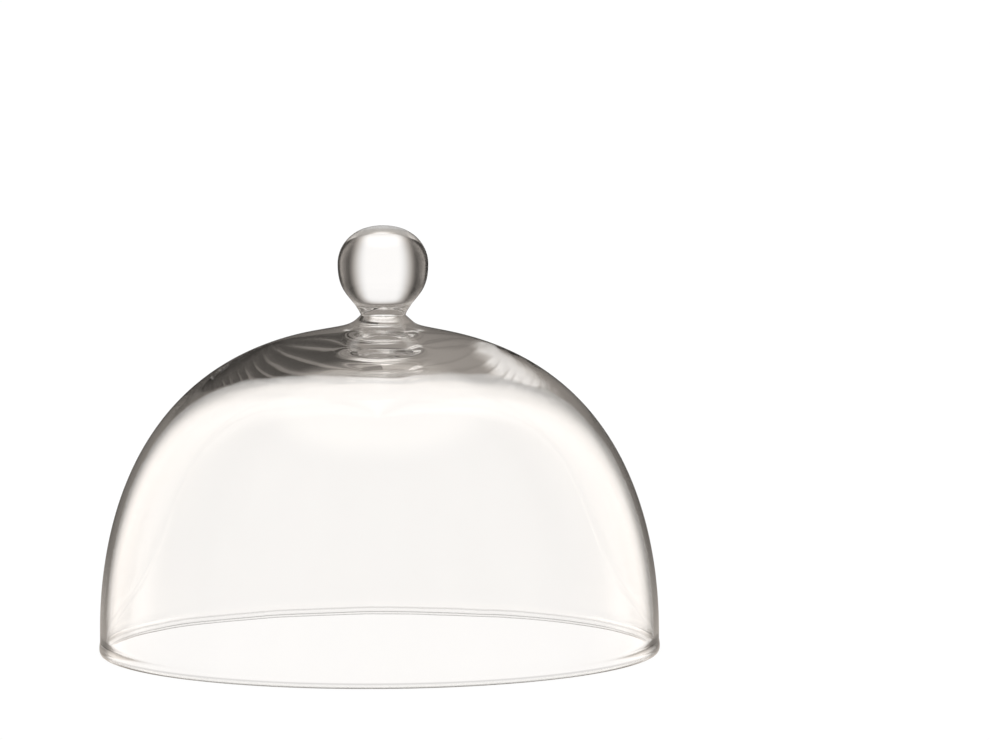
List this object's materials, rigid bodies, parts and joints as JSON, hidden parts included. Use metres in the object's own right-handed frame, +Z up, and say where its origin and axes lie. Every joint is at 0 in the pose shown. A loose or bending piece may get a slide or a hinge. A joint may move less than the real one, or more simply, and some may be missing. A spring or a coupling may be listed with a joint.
{
  "type": "glass display dome",
  "caption": "Clear blown-glass display dome with open rim, thick crown, short waisted collar and solid ball knob; lifts off whole to cover an item set on a flat base.",
  "frame": {"origin": "centre of the rim's flat land, on the dome's axis", "axes": "+Z up along the dome's axis, from rim to knob; +X is the side the hand-set knob leans to; +Y completes the right-handed frame"},
  "size_m": [0.2808, 0.2808, 0.213],
  "materials": {
    "bell_glass": "clear, fire-polished, slightly wavy from blowing",
    "collar_glass": "clear, fire-polished",
    "ball_glass": "clear, polished"
  },
  "bodies": {
    "root": {"dome_shell": "bell_glass", "neck_collar": "collar_glass", "ball_knob": "ball_glass"}
  },
  "joints": []
}
